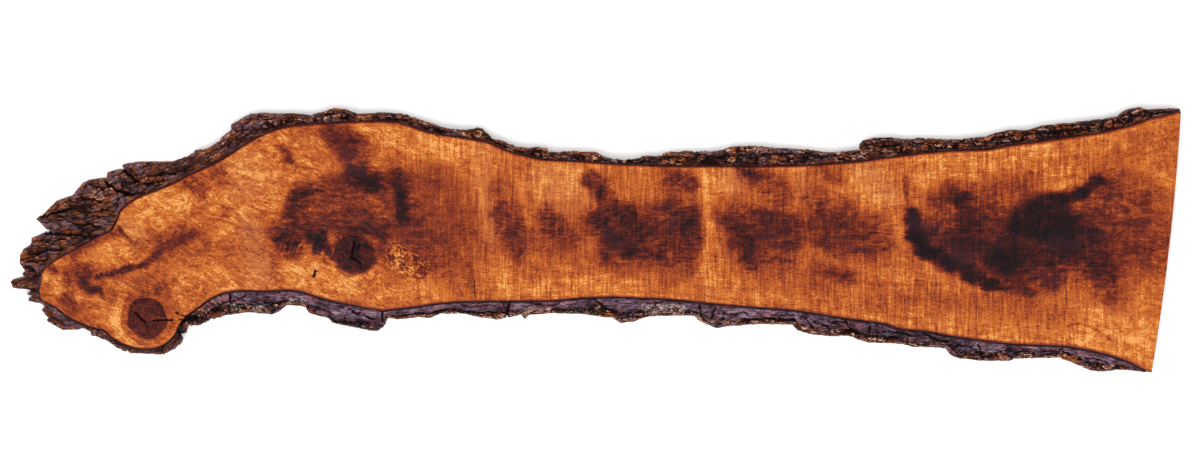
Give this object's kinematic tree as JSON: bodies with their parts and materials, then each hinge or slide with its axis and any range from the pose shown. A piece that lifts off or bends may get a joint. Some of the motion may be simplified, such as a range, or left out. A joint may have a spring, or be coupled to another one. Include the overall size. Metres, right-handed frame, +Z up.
{
  "type": "live-edge wood slab",
  "caption": "Long flat slab of walnut sawn from a curved, forked log, with its rough bark left on both long edges and round one end, and a bowed saw cut at the other.",
  "frame": {"origin": "middle of the slab's plan, on the flat underside that it rests on", "axes": "+X along the slab towards its sawn end, +Y across it towards the edge with the thin crust of bark, +Z up out of its top face"},
  "size_m": [1.9998, 0.4536, 0.05],
  "materials": {
    "oiled_walnut": "oiled, satin",
    "walnut_bark": "rough, dry"
  },
  "bodies": {
    "root": {"sawn_wood": "oiled_walnut", "bark": "walnut_bark"}
  },
  "joints": []
}
